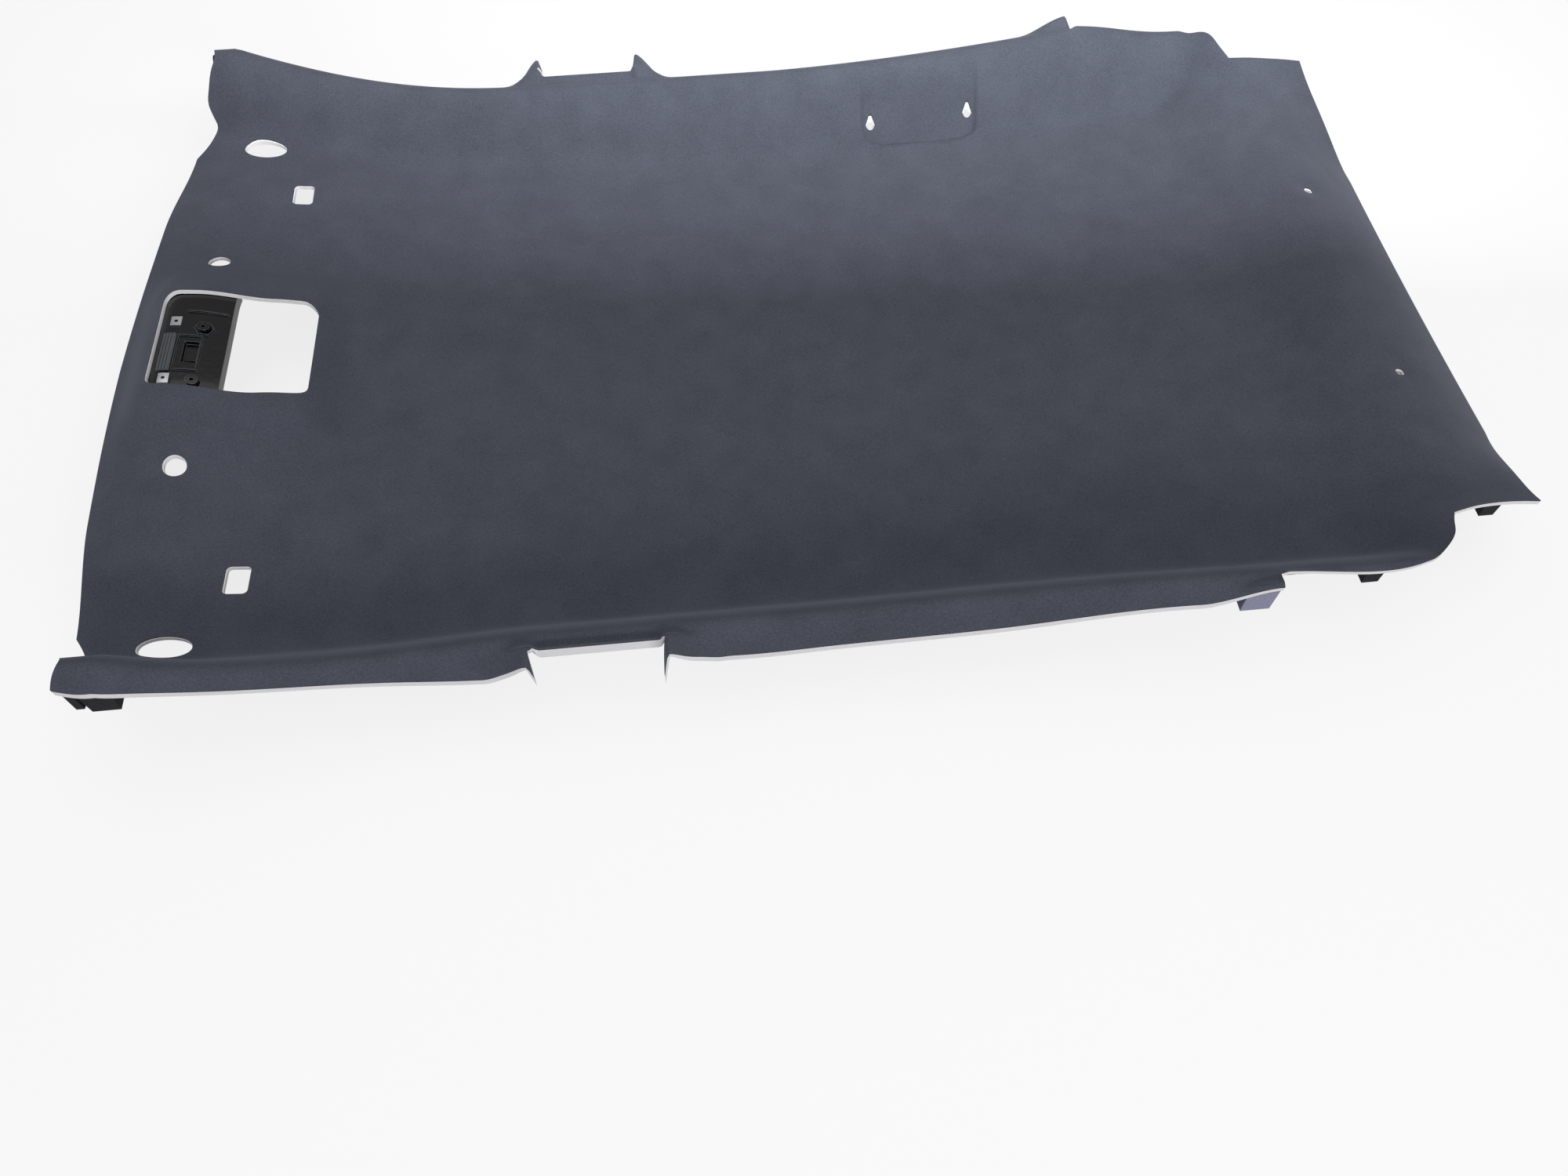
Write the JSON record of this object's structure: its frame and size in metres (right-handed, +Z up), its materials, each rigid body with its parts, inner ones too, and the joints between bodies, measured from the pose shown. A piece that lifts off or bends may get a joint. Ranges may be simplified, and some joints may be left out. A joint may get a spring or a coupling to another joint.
{
  "type": "car headliner panel",
  "caption": "Moulded car headliner panel with a dark knit fabric face, rolled side rails, pillar notches, sun visor and console openings and a bonded console bracket.",
  "frame": {"origin": "on the ground under the middle of the panel's length and width, the panel lying with its fabric face up", "axes": "+X to the rear of the vehicle, +Y to its left side as fitted, +Z up out of the fabric face"},
  "size_m": [2.031, 1.2424, 0.2199],
  "materials": {
    "knit_fabric": "matte knit",
    "moulded_board": "fibre-faced foam board",
    "black_plastic": "moulded",
    "grey_plastic": "moulded",
    "spring_steel": "bright",
    "black_foam": "rigid foam",
    "grey_foam": "rigid foam"
  },
  "bodies": {
    "root": {"substrate_board": "moulded_board", "face_fabric": "knit_fabric", "console_bracket": "black_plastic", "console_strip": "grey_plastic", "console_clip_left": "spring_steel", "console_clip_right": "spring_steel", "front_block_left": "black_foam", "front_block_right": "black_foam", "ear_wedge_left": "black_foam", "ear_wedge_right": "black_foam", "pillar_block_left": "grey_foam", "pillar_block_right": "grey_foam", "quarter_wedge_left": "black_foam", "quarter_wedge_right": "black_foam", "rear_wedge_left": "black_foam", "rear_wedge_right": "black_foam"}
  },
  "joints": []
}
